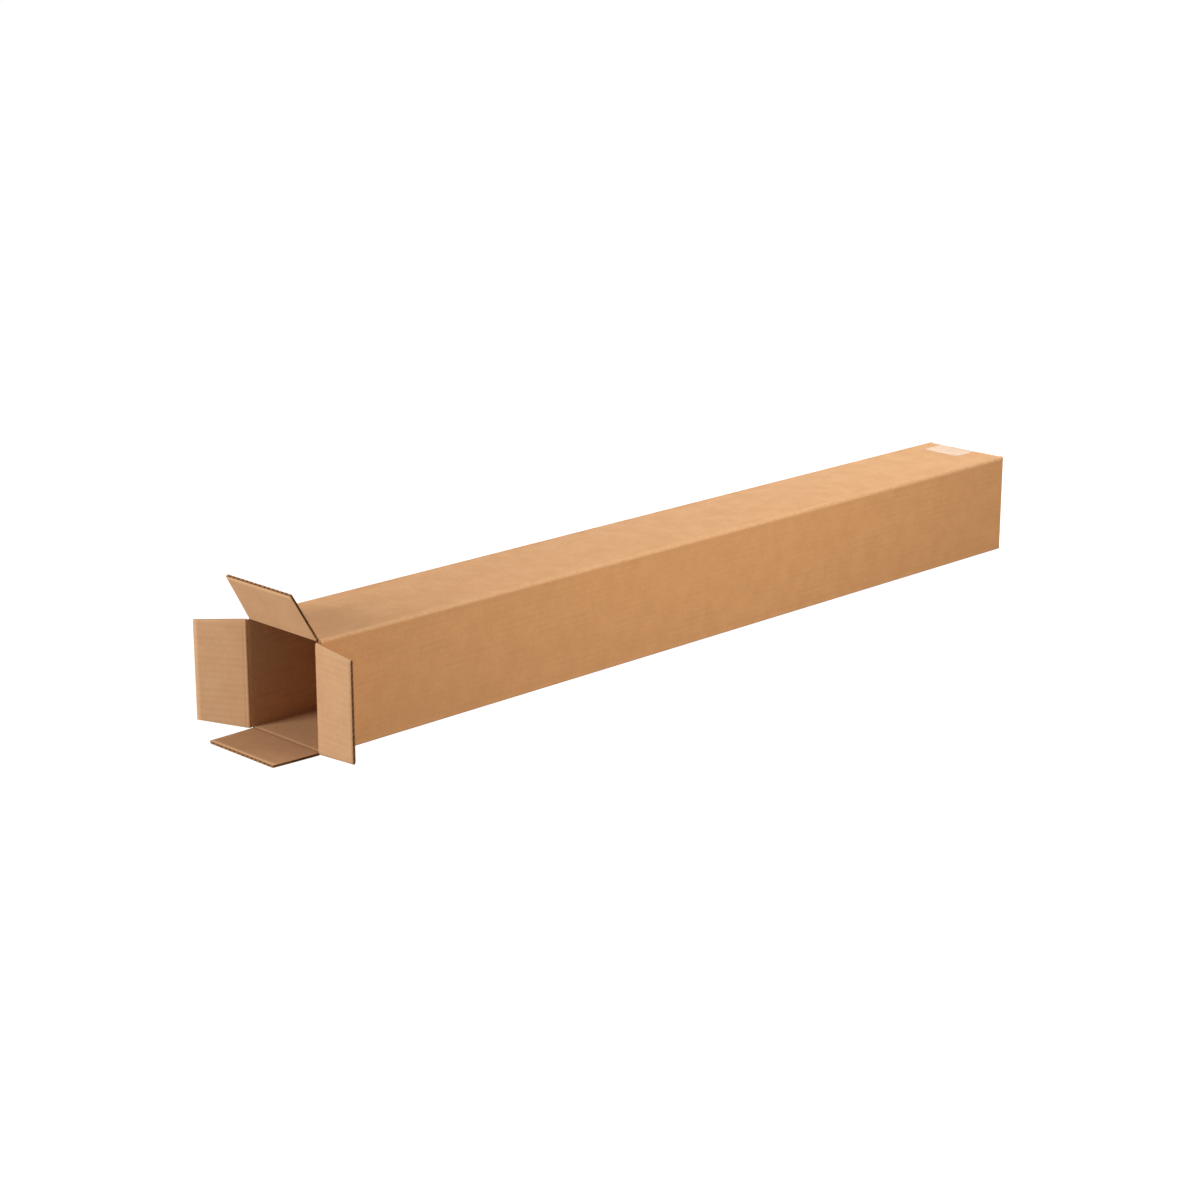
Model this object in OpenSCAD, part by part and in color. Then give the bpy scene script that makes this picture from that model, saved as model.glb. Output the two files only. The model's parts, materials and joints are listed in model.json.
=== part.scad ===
// Long shipping box of single-wall corrugated board, lying on its side.
// One end is folded shut and taped. The four flaps of the other end stand folded out.
// Millimetres. X runs from the open end to the closed end, -Y is the right-hand side
// seen from the open end, +Z is up, and the origin is the middle of the underside.

/* [Box] */
// Clear width inside
inside_w = 101.6; // [70:0.1:300]
// Clear height inside
inside_h = 106; // [70:0.1:300]
// Clear length inside, with both ends closed
inside_l = 1016; // [300:1:1600]
// Thickness of the board
board_t = 3; // [2.5:0.1:5]
// Outside radius of the folded edges
fold_r = 2.5; // [0.5:0.1:2.5]

/* [Flaps] */
// Top flap, degrees folded out from straight
top_open = 61; // [-90:1:140]
// Right flap, degrees folded out from straight
right_open = 87; // [-90:1:140]
// Bottom flap, degrees folded out from straight
bottom_open = 0; // [-90:1:140]
// Left flap, degrees folded out from straight
left_open = 58; // [-90:1:140]
// Gap between two closed flaps where their edges meet
flap_gap = 1.6; // [0.4:0.1:6]
// Room between the inner pair and the outer pair of closed flaps
layer_gap = 0.5; // [0.3:0.1:2]
// Room between a closed inner flap and the side beside it
side_room = 1.25; // [0.8:0.05:6]
// How much narrower a flap is at its tip, on each side
flap_taper = 2.2; // [0:0.1:6]
// How far a slot runs past the inner creases
slot_past = 0.5; // [0.2:0.1:3]

/* [Creases] */
// Depth of a flap's crease below the outer face of the board
crease_depth = 1; // [0.8:0.1:1.4]
// Radius of the crushed board that rolls in a crease
crease_r = 0.5; // [0.3:0.05:0.6]
// Room round the crushed board in a crease
crease_gap = 0.2; // [0.1:0.05:0.3]
// Fall of the outer face towards a crease, degrees
outer_fall = 19; // [14:1:19]
// Fall of the inner face towards a crease, degrees
inner_fall = 44; // [35:1:44]
// How far a crease runs past the sides of its flap
crease_past = 0.4; // [0.1:0.1:1]

/* [Corrugation] */
// Distance from one flute to the next
flute_pitch = 6.4; // [5:0.1:10]
// Thickness of each facing
facing_t = 0.3; // [0.2:0.05:0.5]
// Thickness of the fluted sheet
medium_t = 0.25; // [0.15:0.05:0.4]
// How far the tips of the flutes are pressed into the facings
tip_press = 0.15; // [0.1:0.05:0.3]
// Length of flap beside a crease in which the flutes are crushed shut
crush_l = 6; // [6:0.5:20]

/* [Glue tab] */
// Width of the tab glued under the top panel
tab_w = 32; // [12:1:45]
// Distance of the tab from the ends of the box
tab_inset = 6; // [2:0.5:20]
// Slant of the tab's ends, degrees
tab_slant = 15; // [0:1:40]
// How far the cut edge of the top panel stops short of the side
joint_setback = 1.5; // [0.5:0.1:2.5]

/* [Tape] */
// Width of the tape
tape_w = 50; // [20:1:60]
// Thickness of the tape
tape_t = 0.1; // [0.05:0.01:0.2]
// Length of tape lapped on to the top and the bottom
tape_lap = 35; // [15:1:100]
// Offset of the tape to the left of the middle
tape_shift = 9.6; // [-15:0.1:15]

/* [Hidden] */

$fn = 48;
// Steps along one flute, and along the tape's bend
flute_steps = 8;
bend_steps = 6;
// Overlap of shapes that belong to one solid, and overshoot of cuts
lap = 1;

box_w = inside_w + 2 * board_t;
box_h = inside_h + 2 * board_t;
fold = min(fold_r, board_t);

// The outer flaps close over the inner ones, so their creases lie one layer further out
layer = board_t + layer_gap;
box_l = inside_l + 2 * board_t + 2 * layer - crease_depth;
end_x = box_l / 2;
inner_end_x = end_x - layer;
outer_crease_x = -end_x;
inner_crease_x = outer_crease_x + layer;

// The slots are centred on the folded edges, so flaps are narrower than their panels
flap_w = inside_w - 2 * side_room;
flap_h = inside_h - 2 * side_room;
slot_x = inner_crease_x + slot_past;
end_slot_x = inner_end_x - fold;

// Reach of the falls beside a crease, on the outer and the inner face
below = board_t - crease_depth;
outer_reach = crease_depth / tan(outer_fall);
inner_reach = below / tan(inner_fall);

// Turns about X that bring the top on to each side
top_turn = 0;
right_turn = 90;
bottom_turn = 180;
left_turn = -90;

board_color = [0.76, 0.57, 0.38];
flap_color = [0.80, 0.62, 0.44];
tape_color = [0.93, 0.88, 0.80, 0.7];

// Half of the tape's path, as [x, depth below the box's face]: along the face, round the
// inner flap's fold, and straight across to the edge of the outer flaps
function tape_half(press) =
    let (edge = (box_h - flap_h) / 2)
    let (dx = end_x - inner_end_x + fold)
    let (dz = fold - edge)
    let (start = acos(1 - press / fold))
    let (finish = asin(fold / norm([dx, dz])) - atan2(dz, dx))
    let (bend = (finish - start) / bend_steps)
    let (r = fold / cos(bend / 2))
    concat(
        [[inner_end_x - fold - tape_lap, press]],
        press > 0 ? [[inner_end_x - fold + fold * sin(start), press]] : [],
        [for (i = [0:bend_steps - 1])
            let (a = start + (i + 0.5) * bend)
            [inner_end_x - fold + r * sin(a), fold - r * cos(a)]],
        [[end_x, edge]]
    );

// Points of a path moved sideways by t, with mitred corners
function unit(v) = v / norm(v);
function side_of(p, i) = let (d = unit(p[i + 1] - p[i])) [-d[1], d[0]];
function moved(p, t) = [
    for (i = [0:len(p) - 1])
        let (n1 = side_of(p, max(i - 1, 0)))
        let (n2 = side_of(p, min(i, len(p) - 2)))
        p[i] + t * (n1 + n2) / (1 + n1 * n2)
];
function reversed(p) = [for (i = [len(p) - 1:-1:0]) p[i]];

// Places children on one side: X along the box, Y across the side, Z = 0 on its outer face
module on_side(turn) {
    reach = (turn == top_turn || turn == bottom_turn) ? box_h / 2 : box_w / 2;
    translate([0, 0, box_h / 2])
        rotate([turn, 0, 0])
            translate([0, 0, reach])
                children();
}

// Carries a profile, drawn along the box and outwards, across a side
module across(width) {
    rotate([90, 0, 0])
        linear_extrude(width, center = true)
            children();
}

// Carries a section, drawn across the box, along the box
module along(x0, x1) {
    translate([x0, 0, 0])
        rotate([90, 0, 90])
            linear_extrude(x1 - x0)
                children();
}

// Section of the four panels: three folded edges, and the cut edge of the top panel
// lying over the fold of the glue tab
module panel_section() {
    difference() {
        union() {
            translate([-box_w / 2, fold])
                square([box_w, box_h - 2 * fold]);
            translate([fold - box_w / 2, 0])
                square([box_w - 2 * fold, box_h]);
            for (y = [fold - box_w / 2, box_w / 2 - fold])
                for (z = [fold, box_h - fold])
                    translate([y, z])
                        circle(fold);
        }
        translate([-inside_w / 2, board_t])
            square([inside_w, inside_h]);
        translate([box_w / 2 - joint_setback, box_h - board_t])
            square([joint_setback + lap, board_t + lap]);
        translate([box_w / 2 - fold, box_h - board_t - fold])
            difference() {
                square([fold + lap, fold]);
                circle(fold);
            }
    }
}

// Panel running back from x = 0 to length, with a folded flap that hangs from its end
module fold_profile(length, drop) {
    difference() {
        union() {
            translate([-length, -board_t])
                square([length, board_t]);
            translate([-board_t, -drop])
                square([board_t, drop]);
        }
        translate([-fold, -fold])
            difference() {
                square(fold + lap);
                circle(fold);
            }
    }
}

// Slivers cut off both sides of a flap, drawn across it and along it from root to tip
module side_slivers(width, root, tip) {
    for (way = [0, 1])
        mirror([way, 0])
            polygon([[width / 2, root], [width / 2 - flap_taper, tip],
                [width / 2 - flap_taper, tip + lap], [width / 2 + lap, tip + lap],
                [width / 2 + lap, root]]);
}

// Closed end flap of one side, continuous with its panel
module end_flap(turn, x, width, drop) {
    on_side(turn)
        difference() {
            translate([x, 0, 0])
                across(width)
                    fold_profile(x - end_slot_x + lap, drop);
            along(x - board_t - lap, x + lap)
                mirror([0, 1])
                    side_slivers(width, board_t, drop);
        }
}

// Panel's own edge at a flap's crease, before it is creased
module crease_edge(turn, x, width) {
    on_side(turn)
        translate([x, 0, 0])
            across(width)
                translate([0, -board_t])
                    square([slot_x - x + lap, board_t]);
}

// Board pressed away beside a crease, and the room in which the flap's edge rolls
module crease_cut(turn, x, width) {
    on_side(turn)
        translate([x, 0, -crease_depth])
            across(width + 2 * crease_past) {
                circle(crease_r + crease_gap);
                polygon([[-lap, 0], [0, 0], [outer_reach, crease_depth],
                    [outer_reach, crease_depth + lap], [-lap, crease_depth + lap]]);
                polygon([[-lap, 0], [0, 0], [inner_reach, -below],
                    [inner_reach, -below - lap], [-lap, -below - lap]]);
            }
}

// Tab folded in from the left panel and glued under the top panel
module glue_tab() {
    root = inside_w / 2 + board_t / 4;
    x0 = slot_x + tab_inset;
    x1 = inner_end_x - board_t - tab_inset;
    run = (tab_w + board_t / 4) * tan(tab_slant);
    translate([0, 0, box_h - 2 * board_t])
        linear_extrude(board_t * 1.05)
            polygon([[x0, root], [x1, root], [x1 - run, inside_w / 2 - tab_w],
                [x0 + run, inside_w / 2 - tab_w]]);
}

// Hollow flutes of a flap, above and below the wavy sheet, drawn across the flap
module flute_section(width) {
    core = board_t / 2 - facing_t;
    wave = core - medium_t / 2 + tip_press;
    tip = acos((core - medium_t / 2) / wave);
    count = ceil(width / 2 / flute_pitch);
    steepest = wave * 2 * PI / flute_pitch;
    channel = [
        for (i = [0:flute_steps])
            let (a = tip + (360 - 2 * tip) * i / flute_steps)
            let (sheet = medium_t * norm([1, steepest * sin(a)]))
            [flute_pitch * (a / 360 - 0.5), min(core, wave * cos(a) + sheet / 2)]
    ];
    for (k = [-count:count]) {
        translate([(k + 0.5) * flute_pitch, 0])
            polygon(channel);
        translate([k * flute_pitch, 0])
            mirror([0, 1])
                polygon(channel);
    }
}

// Flap of the open end, straight: its crease on the Y axis, its outer face up
module flap(width, length) {
    difference() {
        across(width) {
            circle(crease_r);
            polygon([[0, 0], [-outer_reach, crease_depth], [-length, crease_depth],
                [-length, -below], [-inner_reach, -below]]);
        }
        translate([0, 0, crease_depth - board_t / 2])
            along(-length - lap, -crush_l)
                flute_section(width);
        translate([0, 0, -board_t])
            linear_extrude(2 * board_t)
                rotate(90)
                    side_slivers(width, 0, length);
    }
}

// Flap in its place on one side, folded out by the given angle
module placed_flap(turn, x, width, side, open) {
    color(flap_color)
        on_side(turn)
            translate([x, 0, -crease_depth])
                rotate([0, open, 0])
                    flap(width, side / 2 - crease_depth - flap_gap / 2);
}

// One sheet: four panels, the glue tab and the closed end
module box_body() {
    color(board_color)
        difference() {
            union() {
                along(slot_x, end_slot_x)
                    panel_section();
                glue_tab();
                for (turn = [top_turn, bottom_turn]) {
                    crease_edge(turn, inner_crease_x, flap_w);
                    end_flap(turn, inner_end_x, flap_w, (box_h - flap_gap) / 2);
                }
                for (turn = [right_turn, left_turn]) {
                    crease_edge(turn, outer_crease_x, flap_h);
                    end_flap(turn, end_x, flap_h, (box_w - flap_gap) / 2);
                }
            }
            for (turn = [top_turn, bottom_turn])
                crease_cut(turn, inner_crease_x, flap_w);
            for (turn = [right_turn, left_turn])
                crease_cut(turn, outer_crease_x, flap_h);
            tape_print();
        }
}

// The weight of the box presses the tape flush into the underside
module tape_print() {
    translate([inner_end_x - fold - tape_lap, tape_shift - tape_w / 2, -lap])
        cube([tape_lap + layer + fold, tape_w, lap + tape_t]);
}

module top_flap() {
    placed_flap(top_turn, inner_crease_x, flap_w, box_h, top_open);
}

module right_flap() {
    placed_flap(right_turn, outer_crease_x, flap_h, box_w, right_open);
}

module bottom_flap() {
    placed_flap(bottom_turn, inner_crease_x, flap_w, box_h, bottom_open);
}

module left_flap() {
    placed_flap(left_turn, outer_crease_x, flap_h, box_w, left_open);
}

// Strip over the seam of the closed end, lapped on to the top and the bottom
module end_tape() {
    upper = [for (p = tape_half(0)) [p[0], box_h - p[1]]];
    lower = [for (p = tape_half(tape_t)) [p[0], p[1]]];
    path = concat(upper, reversed(lower));
    color(tape_color)
        translate([0, tape_shift, 0])
            across(tape_w)
                polygon(concat(path, reversed(moved(path, tape_t))));
}

box_body();
top_flap();
right_flap();
bottom_flap();
left_flap();
end_tape();
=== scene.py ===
import json
import math

import bpy
import numpy as np
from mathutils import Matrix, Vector


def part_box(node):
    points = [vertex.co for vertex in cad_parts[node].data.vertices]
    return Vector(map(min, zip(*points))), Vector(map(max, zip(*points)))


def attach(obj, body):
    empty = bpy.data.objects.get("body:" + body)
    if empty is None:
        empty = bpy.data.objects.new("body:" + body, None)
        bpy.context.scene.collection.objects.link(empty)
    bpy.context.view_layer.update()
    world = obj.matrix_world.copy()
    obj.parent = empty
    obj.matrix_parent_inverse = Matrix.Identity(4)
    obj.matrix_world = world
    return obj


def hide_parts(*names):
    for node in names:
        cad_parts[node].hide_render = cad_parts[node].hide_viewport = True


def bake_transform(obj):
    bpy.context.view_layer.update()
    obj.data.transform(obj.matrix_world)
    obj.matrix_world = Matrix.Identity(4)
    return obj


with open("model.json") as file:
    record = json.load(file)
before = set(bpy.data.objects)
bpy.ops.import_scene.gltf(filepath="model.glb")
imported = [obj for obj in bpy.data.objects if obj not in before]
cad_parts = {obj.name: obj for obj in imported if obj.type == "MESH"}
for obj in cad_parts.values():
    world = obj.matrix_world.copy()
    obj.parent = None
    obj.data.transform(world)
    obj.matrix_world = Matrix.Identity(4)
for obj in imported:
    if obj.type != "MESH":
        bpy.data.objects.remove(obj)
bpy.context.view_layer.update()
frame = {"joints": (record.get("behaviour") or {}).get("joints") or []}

# Long box folded from one sheet of corrugated board. Metres, in the frame of the solids:
# +X from the open end to the closed end, +Z up, origin in the middle of the underside.
mm = 0.001
boxLow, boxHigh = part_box("box_body")
boxWidth = boxHigh.y - boxLow.y
boxHeight = boxHigh.z - boxLow.z
boxCentre = np.array([0.0, 0.0, boxHeight / 2])
lengthWay = np.array([1.0, 0.0, 0.0])

board = {
    "thickness": 3.0 * mm,
    "liner": 0.3 * mm,          # each facing
    "medium": 0.25 * mm,        # fluted sheet between the facings
    "flutePitch": 6.4 * mm,
    "washboard": 0.06 * mm,     # how far a facing sinks between two flutes
    "foldRadius": 2.5 * mm,
    "insideRadius": 0.8 * mm,
    "sideRoom": 1.25 * mm,      # between a closed inner flap and the side beside it
    "flapGap": 1.6 * mm,        # between two closed flaps that meet
    "taper": 2.2 * mm,          # flaps are this much narrower at the tip, on each side
    "slotPast": 0.5 * mm,       # slots run this far past the inner creases
    "flare": {"right": 2.0 * mm, "bottom": 0.0, "left": 2.0 * mm, "top": 0.0},   # wider at the crease
    "innerPaper": (0.0, 0.7),   # on the map, the inner facing is another stretch of paper
}
crease = {
    "outerReach": 2.4 * mm,
    "outerDip": 0.3 * mm,
    "innerReach": 3.9 * mm,
    "innerRise": 0.45 * mm,
    "rubReach": 0.9 * mm,       # half width of the pale line along a crease
    "rub": {"right": 0.2, "bottom": 1.0, "left": 0.0, "top": 0.2},
    "closedAngle": 90.0,        # a closed flap is turned in by this much from straight
}


def smoothStep(t):
    # 0 before 0, 1 after 1, and 3t^2 - 2t^3 between
    t = np.clip(t, 0.0, 1.0)
    return t * t * (3.0 - 2.0 * t)


def hump(t):
    # 1 at 0, falling to 0 at 1 on either side
    return 1.0 - smoothStep(np.abs(t))


def outerDepth(s):
    # outer face beside a crease: a shallow round valley
    return crease["outerDip"] * hump(s / crease["outerReach"])


def innerDepth(s):
    # inner face beside a crease: the board is crushed to a thin web
    return board["thickness"] - crease["innerRise"] * hump(s / crease["innerReach"])


def creaseWear(side, s):
    # strongest on the crease, fading on either side
    return crease["rub"][side["name"]] * np.exp(-(s / crease["rubReach"]) ** 2)


def fluteWave(q):
    # +1 where a flute touches the outer facing, -1 where it touches the inner one
    return np.cos(2.0 * np.pi * q / board["flutePitch"])


def ribSink(q, fade, inside=False):
    # depth to which a facing sinks between flutes
    touch = fluteWave(q) * (-1.0 if inside else 1.0)
    return board["washboard"] * 0.5 * (1.0 - touch) * fade


# One entry for each side, in order round the box, with its hinge and how far its flap is open
joints = {joint["name"]: joint for joint in frame["joints"]}
# on the map every panel takes the same whole number of flutes
panelStep = round(boxWidth / board["flutePitch"]) * board["flutePitch"]


def sideOf(number, name, normal):
    joint = joints[name + "_flap_fold"]
    normal = np.array(normal, float)
    lateral = np.cross(lengthWay, normal)
    spans = np.array([0.0, boxWidth / 2, boxHeight / 2])
    hinge = np.array(joint["pos_m"], float)
    reach = np.abs(normal) @ spans
    half = np.abs(lateral) @ spans
    return {
        "name": name,
        "normal": normal,
        "lateral": lateral,
        "reach": reach,
        "half": half,
        "flapHalf": half - board["thickness"] - board["sideRoom"],
        "hinge": hinge,
        "creaseDepth": reach - (hinge - boxCentre) @ normal,
        "open": math.radians(joint["range_deg"][1] - crease["closedAngle"]),
        "body": joint["child"],
        "v": number * panelStep,        # the middle of the panel on the map
    }


ring = [
    sideOf(0, "right", (0, -1, 0)),
    sideOf(1, "bottom", (0, 0, -1)),
    sideOf(2, "left", (0, 1, 0)),
    sideOf(3, "top", (0, 0, 1)),
]
sides = {side["name"]: side for side in ring}
outerPair = ("right", "left")       # these flaps close over the other two
innerPair = ("top", "bottom")
outerEndX = boxHigh.x
innerEndX = -sides["top"]["hinge"][0]
slotX = sides["top"]["hinge"][0] + board["slotPast"]
endSlotX = innerEndX - board["foldRadius"]


def place(side, x, q, depth):
    # along the box, across the side, and below the side's outer face
    x, q, depth = np.broadcast_arrays(x, q, depth)
    out = side["reach"] - depth
    return (boxCentre + x[..., None] * lengthWay + q[..., None] * side["lateral"]
            + out[..., None] * side["normal"])


# Patches: grids of points with their own map, wear and painted fold highlight, and paint, welded into one
# mesh
paints = {"outer": 0, "inner": 1, "cut": 2, "flute": 3}
allWalls = "first last tip root"
weld = {"cell": 1e-6, "offset": 0.137}     # points in one cell are one vertex; round numbers lie inside cells


def patch(points, uv, wear=0.0, paint="outer", flat=False, flip=False):
    rows, columns = points.shape[:2]
    cells = (rows - 1, columns - 1)
    return {
        "points": points,
        "uv": np.broadcast_to(uv, (rows, columns, 2)),
        "wear": np.broadcast_to(wear, (rows, columns)),
        "paint": np.broadcast_to(paints[paint] if isinstance(paint, str) else paint, cells),
        "flat": np.broadcast_to(flat, cells),
        "flip": flip,
    }


def wall(lineA, lineB, flip=False):
    # straight strip between two lines of points, for the cut edge of the board
    points = np.stack([lineA, lineB])
    step = np.linalg.norm(np.diff(lineA, axis=0), axis=1)
    run = np.concatenate([[0.0], np.cumsum(step)])
    uv = np.stack([np.stack([run, np.zeros_like(run)], -1), np.stack([run, np.ones_like(run)], -1)])
    return patch(points, uv, paint="cut", flat=True, flip=flip)


def slab(outer, inner, uv, wear=0.0, paint=("outer", "inner"), walls="first last tip", flip=False):
    # two facing grids, and walls along the borders that are named
    made = [patch(outer, uv, wear, paint[0], flip=flip), patch(inner, uv, wear, paint[1], flip=not flip)]
    borders = {
        "first": (outer[:, 0], inner[:, 0]),
        "last": (inner[:, -1], outer[:, -1]),
        "tip": (outer[-1], inner[-1]),
        "root": (inner[0], outer[0]),
    }
    return made + [wall(*borders[name], flip=flip) for name in walls.split()]


def buildPiece(name, patches, materials):
    # corners of each quad run along a column first, so a face looks along (column x row)
    quads, flats, paintings, corners, start = [], [], [], [], 0
    for one in patches:
        rows, columns = one["points"].shape[:2]
        index = np.arange(rows * columns).reshape(rows, columns)
        quad = np.stack([index[:-1, :-1], index[:-1, 1:], index[1:, 1:], index[1:, :-1]], -1).reshape(-1, 4)
        quad = quad[:, ::-1] if one["flip"] else quad
        corners.append(one["uv"].reshape(-1, 2)[quad])
        quads.append(quad + start)
        flats.append(one["flat"].ravel())
        paintings.append(one["paint"].ravel())
        start += rows * columns
    points = np.concatenate([one["points"].reshape(-1, 3) for one in patches])
    wear = np.concatenate([one["wear"].ravel() for one in patches])
    keys = np.floor(points / weld["cell"] + weld["offset"]).astype(np.int64)
    first, merged = np.unique(keys, axis=0, return_index=True, return_inverse=True)[1:]
    quads = merged.ravel()[np.concatenate(quads)]
    ordered = np.sort(quads, axis=1)
    whole = (np.diff(ordered, axis=1) > 0).all(1)       # quads that kept four corners
    mesh = bpy.data.meshes.new(name)
    mesh.from_pydata(points[first].tolist(), [], quads[whole].tolist())
    mesh.polygons.foreach_set("use_smooth", ~np.concatenate(flats)[whole])
    mesh.polygons.foreach_set("material_index", np.concatenate(paintings)[whole].astype(np.int32))
    layer = mesh.uv_layers.new(name="sheetMap")
    layer.uv.foreach_set("vector", np.concatenate(corners)[whole].astype(np.float32).ravel())
    # rub wear and the painted highlight on the top's long fold, stored per point
    worn = mesh.attributes.new("foldWear", "FLOAT", "POINT")
    worn.data.foreach_set("value", wear[first].astype(np.float32))
    for material in materials:
        mesh.materials.append(material)
    mesh.update()
    piece = bpy.data.objects.new(name, mesh)
    bpy.context.scene.collection.objects.link(piece)
    print("built", name, "with", int(whole.sum()), "quads,", int((~whole).sum()), "left out")
    return piece


# Node helpers
def addNode(tree, kind, spot, **settings):
    node = tree.nodes.new(kind)
    node.location = spot
    for key, value in settings.items():
        setattr(node, key, value)
    return node


def feed(tree, socket, value):
    # a number or a colour is set on the socket, and another node's output is linked to it
    if isinstance(value, (int, float)):
        socket.default_value = value
    elif isinstance(value, tuple):
        socket.default_value = (*value, 1.0)
    else:
        tree.links.new(value, socket)


def mathNode(tree, operation, spot, *values):
    node = addNode(tree, "ShaderNodeMath", spot, operation=operation)
    for socket, value in zip(node.inputs, values):
        feed(tree, socket, value)
    return node.outputs[0]


def noise(tree, vector, spot, detail, roughness, waves=None, scale=1.0):
    # waves: how many to the metre, along the box and round it
    if waves:
        stretched = addNode(tree, "ShaderNodeVectorMath", (spot[0] - 200, spot[1]), operation="MULTIPLY")
        tree.links.new(vector, stretched.inputs[0])
        stretched.inputs[1].default_value = (*waves, 1.0)
        vector = stretched.outputs[0]
    node = addNode(tree, "ShaderNodeTexNoise", spot, noise_dimensions="2D")
    tree.links.new(vector, node.inputs["Vector"])
    node.inputs["Detail"].default_value = detail
    node.inputs["Roughness"].default_value = roughness
    feed(tree, node.inputs["Scale"], scale)
    return node.outputs[0]


def ramp(tree, value, spot, span, onto=(0.0, 1.0)):
    # smooth step from one span of values on to another
    node = addNode(tree, "ShaderNodeMapRange", spot, interpolation_type="SMOOTHSTEP")
    tree.links.new(value, node.inputs["Value"])
    for name, number in zip(("From Min", "From Max", "To Min", "To Max"), (*span, *onto)):
        node.inputs[name].default_value = number
    return node.outputs[0]


def mixColour(tree, factor, a, b, spot):
    node = addNode(tree, "ShaderNodeMix", spot, data_type="RGBA")
    for index, value in ((0, factor), (6, a), (7, b)):      # the colour sockets of a Mix node are 6 and 7
        feed(tree, node.inputs[index], value)
    return node.outputs[2]


def newGroup(name, inputs, outputs):
    tree = bpy.data.node_groups.new(name, "ShaderNodeTree")
    for label, kind, value in inputs:
        socket = tree.interface.new_socket(name=label, in_out="INPUT", socket_type=kind)
        if value is not None:
            socket.default_value = value
    for label in outputs:
        tree.interface.new_socket(name=label, in_out="OUTPUT", socket_type="NodeSocketFloat")
    start = addNode(tree, "NodeGroupInput", (-1200, 0))
    end = addNode(tree, "NodeGroupOutput", (900, 0))
    return tree, start.outputs, end.inputs


def useGroup(tree, group, spot, **values):
    node = addNode(tree, "ShaderNodeGroup", spot, node_tree=group)
    for label, value in values.items():
        feed(tree, node.inputs[label], value)
    return node.outputs


# Paper: cloudy formation, fibres lying across the flutes, and flecks of darker pulp
paperLook = {
    "cloudScale": 45.0,
    "cloud": {"detail": 4.0, "roughness": 0.62},
    "streak": {"waves": (330.0, 120.0), "detail": 3.0, "roughness": 0.6},
    "fibre": {"waves": (2600.0, 520.0), "detail": 3.0, "roughness": 0.7},
    "fleck": {"waves": (1500.0, 420.0), "detail": 2.0, "roughness": 0.5},
    "fleckSpan": (0.66, 0.8),
    "cloudShare": 0.65,
    "streakShare": 0.35,
    "fibreHeight": 0.6,
    "streakHeight": 0.4,
}


def makePaperGroup(look):
    tree, given, result = newGroup(
        "kraftPaper",
        [("Vector", "NodeSocketVector", None), ("CloudScale", "NodeSocketFloat", look["cloudScale"])],
        ["Cloud", "Fibre", "Fleck", "Height"],
    )
    sheet = given["Vector"]
    broad = noise(tree, sheet, (-900, 400), scale=given["CloudScale"], **look["cloud"])
    streaky = noise(tree, sheet, (-800, 200), **look["streak"])
    fibre = noise(tree, sheet, (-800, 0), **look["fibre"])
    fleck = noise(tree, sheet, (-800, -200), **look["fleck"])
    soft = mathNode(tree, "MULTIPLY", (-650, 420), broad, look["cloudShare"])
    cloud = mathNode(tree, "MULTIPLY_ADD", (-500, 300), streaky, look["streakShare"], soft)
    low = mathNode(tree, "MULTIPLY", (-450, 120), streaky, look["streakHeight"])
    height = mathNode(tree, "MULTIPLY_ADD", (-300, 50), fibre, look["fibreHeight"], low)
    tree.links.new(cloud, result["Cloud"])
    tree.links.new(fibre, result["Fibre"])
    tree.links.new(ramp(tree, fleck, (-500, -200), look["fleckSpan"]), result["Fleck"])
    tree.links.new(height, result["Height"])
    return tree


# Flute shadows: faint lines along the box where the facing sinks, uneven along their length
lineLook = {
    "patch": {"waves": (14.0, 90.0), "detail": 2.0, "roughness": 0.55},
    "patchSpan": (0.35, 0.7),
    "faintest": 0.25,
}


def makeFluteGroup(look):
    tree, given, result = newGroup(
        "fluteLines",
        [("Vector", "NodeSocketVector", None), ("Pitch", "NodeSocketFloat", board["flutePitch"])],
        ["Line"],
    )
    split = addNode(tree, "ShaderNodeSeparateXYZ", (-1000, 0))
    tree.links.new(given["Vector"], split.inputs[0])
    turns = mathNode(tree, "DIVIDE", (-800, 0), split.outputs["Y"], given["Pitch"])
    wave = mathNode(tree, "COSINE", (-500, 0), mathNode(tree, "MULTIPLY", (-650, 0), turns, 2.0 * math.pi))
    sunk = ramp(tree, wave, (-330, 0), (-1.0, 1.0), (1.0, 0.0))
    patchy = noise(tree, given["Vector"], (-800, -250), **look["patch"])
    shown = ramp(tree, patchy, (-550, -250), look["patchSpan"], (look["faintest"], 1.0))
    tree.links.new(mathNode(tree, "MULTIPLY", (-150, 0), sunk, shown), result["Line"])
    return tree


# Rubbed and highlighted folds: where the board is bent, the top fibres break up and look paler; along the
# top's long fold, beside the right side, the paleness is also a painted highlight where the rounded fold
# catches the light
rubHighlightLook = {
    "broken": {"waves": (160.0, 420.0), "detail": 4.0, "roughness": 0.65},
    "brokenSpan": (0.3, 0.65),
    "faintest": 0.6,
}


def makeRubHighlightGroup(look):
    tree, given, result = newGroup(
        "rubbedFold",
        [("Vector", "NodeSocketVector", None), ("Wear", "NodeSocketFloat", 0.0)],
        ["Rub"],
    )
    broken = noise(tree, given["Vector"], (-800, 0), **look["broken"])
    shown = ramp(tree, broken, (-600, 0), look["brokenSpan"], (look["faintest"], 1.0))
    tree.links.new(mathNode(tree, "MULTIPLY", (-350, 0), given["Wear"], shown), result["Rub"])
    return tree


paperGroup = makePaperGroup(paperLook)
fluteGroup = makeFluteGroup(lineLook)
rubHighlightGroup = makeRubHighlightGroup(rubHighlightLook)


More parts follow.
